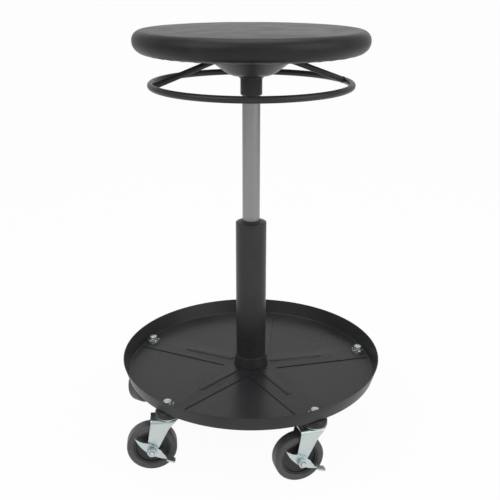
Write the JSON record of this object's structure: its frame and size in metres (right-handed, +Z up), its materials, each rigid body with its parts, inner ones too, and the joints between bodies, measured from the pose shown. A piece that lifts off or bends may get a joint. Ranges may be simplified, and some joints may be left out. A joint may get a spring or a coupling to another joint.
{
  "type": "rolling workshop stool",
  "caption": "Round padded workshop stool on a gas lift with a release ring, over a round steel tool tray on braked swivel casters.",
  "frame": {"origin": "on the floor under the middle of the object's footprint, which is within 5 mm of the lift's axis", "axes": "+Z up along the lift; -Y towards the person who faces the stool as in the picture; +X to their right"},
  "size_m": [0.439, 0.4354, 0.665],
  "materials": {
    "black_paint": "black enamel, semi-gloss",
    "ring_paint": "black enamel, satin",
    "black_plastic": "moulded black nylon, satin",
    "rubber": "black rubber, matte",
    "satin_tube": "drawn steel tube, satin",
    "bright_steel": "ground steel",
    "zinc_plate": "bright zinc plate, slightly blue",
    "plywood": "plain plywood",
    "foam": "upholstery foam",
    "black_vinyl": "smooth black vinyl, satin",
    "wheel_plastic": "moulded black polypropylene",
    "grey_tyre": "dark grey rubber tread, satin"
  },
  "bodies": {
    "base": {"tray": "black_paint", "star_plate": "black_paint", "column_tube": "black_paint", "foot_collar": "black_paint", "foot_plate": "bright_steel", "guide_bush": "black_plastic", "thrust_race_low": "bright_steel", "caster_stems": "zinc_plate", "stem_washers": "zinc_plate", "stem_nuts": "zinc_plate", "race_cups": "black_paint", "swivel_balls": "bright_steel"},
    "piston": {"piston_rod": "bright_steel", "piston_head": "bright_steel", "thrust_race_high": "bright_steel", "thrust_balls": "bright_steel", "bump_stop": "rubber", "retaining_clip": "bright_steel"},
    "seat": {"pressure_tube": "satin_tube", "tube_end_bush": "black_plastic", "valve_body": "bright_steel", "taper_socket": "black_paint", "hub_bowl": "black_paint", "flange_screws": "zinc_plate", "seat_board": "plywood", "seat_foam": "foam", "seat_cover": "black_vinyl"},
    "ring": {"ring_hoop": "ring_paint", "cross_rod": "ring_paint"},
    "pin": {"release_pin": "bright_steel"},
    "caster_1": {"fork_1": "zinc_plate", "axle_set_1": "zinc_plate"},
    "wheel_1": {"wheel_hub_1": "wheel_plastic", "tyre_1": "grey_tyre"},
    "brake_1": {"brake_lever_1": "zinc_plate"},
    "caster_2": {"fork_2": "zinc_plate", "axle_set_2": "zinc_plate"},
    "wheel_2": {"wheel_hub_2": "wheel_plastic", "tyre_2": "grey_tyre"},
    "brake_2": {"brake_lever_2": "zinc_plate"},
    "caster_3": {"fork_3": "zinc_plate", "axle_set_3": "zinc_plate"},
    "wheel_3": {"wheel_hub_3": "wheel_plastic", "tyre_3": "grey_tyre"},
    "brake_3": {"brake_lever_3": "zinc_plate"},
    "caster_4": {"fork_4": "zinc_plate", "axle_set_4": "zinc_plate"},
    "wheel_4": {"wheel_hub_4": "wheel_plastic", "tyre_4": "grey_tyre"},
    "brake_4": {"brake_lever_4": "zinc_plate"},
    "caster_5": {"fork_5": "zinc_plate", "axle_set_5": "zinc_plate"},
    "wheel_5": {"wheel_hub_5": "wheel_plastic", "tyre_5": "grey_tyre"},
    "brake_5": {"brake_lever_5": "zinc_plate"}
  },
  "joints": [
    {"name": "seat_swivel", "type": "hinge", "parent": "base", "child": "piston", "pos_m": [0, 0, 0.1], "axis": [0, 0, 1], "continuous": true},
    {"name": "seat_height", "type": "slide", "parent": "piston", "child": "seat", "axis": [0, 0, 1], "range_m": [-0.2, 0], "stiffness_N_per_m": 300, "springref_m": 1.2},
    {"name": "ring_tilt", "type": "hinge", "parent": "seat", "child": "ring", "pos_m": [0.06112, 0.01638, 0.62197], "axis": [0.2588, -0.9659, 0], "range_deg": [0, 2.3], "stiffness_Nm_per_rad": 50, "springref_deg": -5.73},
    {"name": "pin_press", "type": "slide", "parent": "seat", "child": "pin", "axis": [0, 0, 1], "range_m": [-0.0028, 0]},
    {"name": "caster_swivel_1", "type": "hinge", "parent": "base", "child": "caster_1", "pos_m": [0.19065, 0.04122, 0.0975], "axis": [0, 0, 1], "continuous": true},
    {"name": "wheel_spin_1", "type": "hinge", "parent": "caster_1", "child": "wheel_1", "pos_m": [0.16976, 0.05753, 0.0395], "axis": [-0.6157, -0.788, 0], "continuous": true},
    {"name": "brake_press_1", "type": "hinge", "parent": "caster_1", "child": "brake_1", "pos_m": [0.16976, 0.05753, 0.0395], "axis": [-0.6157, -0.788, 0], "range_deg": [0, 30]},
    {"name": "caster_swivel_2", "type": "hinge", "parent": "base", "child": "caster_2", "pos_m": [0.01971, 0.19405, 0.0975], "axis": [0, 0, 1], "continuous": true},
    {"name": "wheel_spin_2", "type": "hinge", "parent": "caster_2", "child": "wheel_2", "pos_m": [-0.00672, 0.1959, 0.0395], "axis": [-0.0698, -0.9976, 0], "continuous": true},
    {"name": "brake_press_2", "type": "hinge", "parent": "caster_2", "child": "brake_2", "pos_m": [-0.00672, 0.1959, 0.0395], "axis": [-0.0698, -0.9976, 0], "range_deg": [0, 30]},
    {"name": "caster_swivel_3", "type": "hinge", "parent": "base", "child": "caster_3", "pos_m": [-0.17846, 0.07871, 0.0975], "axis": [0, 0, 1], "continuous": true},
    {"name": "wheel_spin_3", "type": "hinge", "parent": "caster_3", "child": "wheel_3", "pos_m": [-0.19211, 0.056, 0.0395], "axis": [0.8572, -0.515, 0], "continuous": true},
    {"name": "brake_press_3", "type": "hinge", "parent": "caster_3", "child": "brake_3", "pos_m": [-0.19211, 0.056, 0.0395], "axis": [0.8572, -0.515, 0], "range_deg": [0, 30]},
    {"name": "caster_swivel_4", "type": "hinge", "parent": "base", "child": "caster_4", "pos_m": [-0.13001, -0.14541, 0.0975], "axis": [0, 0, 1], "continuous": true},
    {"name": "wheel_spin_4", "type": "hinge", "parent": "caster_4", "child": "wheel_4", "pos_m": [-0.15636, -0.14818, 0.0395], "axis": [0.1045, -0.9945, 0], "continuous": true},
    {"name": "brake_press_4", "type": "hinge", "parent": "caster_4", "child": "brake_4", "pos_m": [-0.15636, -0.14818, 0.0395], "axis": [0.1045, -0.9945, 0], "range_deg": [0, 30]},
    {"name": "caster_swivel_5", "type": "hinge", "parent": "base", "child": "caster_5", "pos_m": [0.09811, -0.16858, 0.0975], "axis": [0, 0, 1], "continuous": true},
    {"name": "wheel_spin_5", "type": "hinge", "parent": "caster_5", "child": "wheel_5", "pos_m": [0.07277, -0.17633, 0.0395], "axis": [0.2924, -0.9563, 0], "continuous": true},
    {"name": "brake_press_5", "type": "hinge", "parent": "caster_5", "child": "brake_5", "pos_m": [0.07277, -0.17633, 0.0395], "axis": [0.2924, -0.9563, 0], "range_deg": [0, 30]}
  ],
  "couplings": [
    {"joint": "pin_press", "follows": "ring_tilt", "m_per_rad": -0.06327}
  ]
}
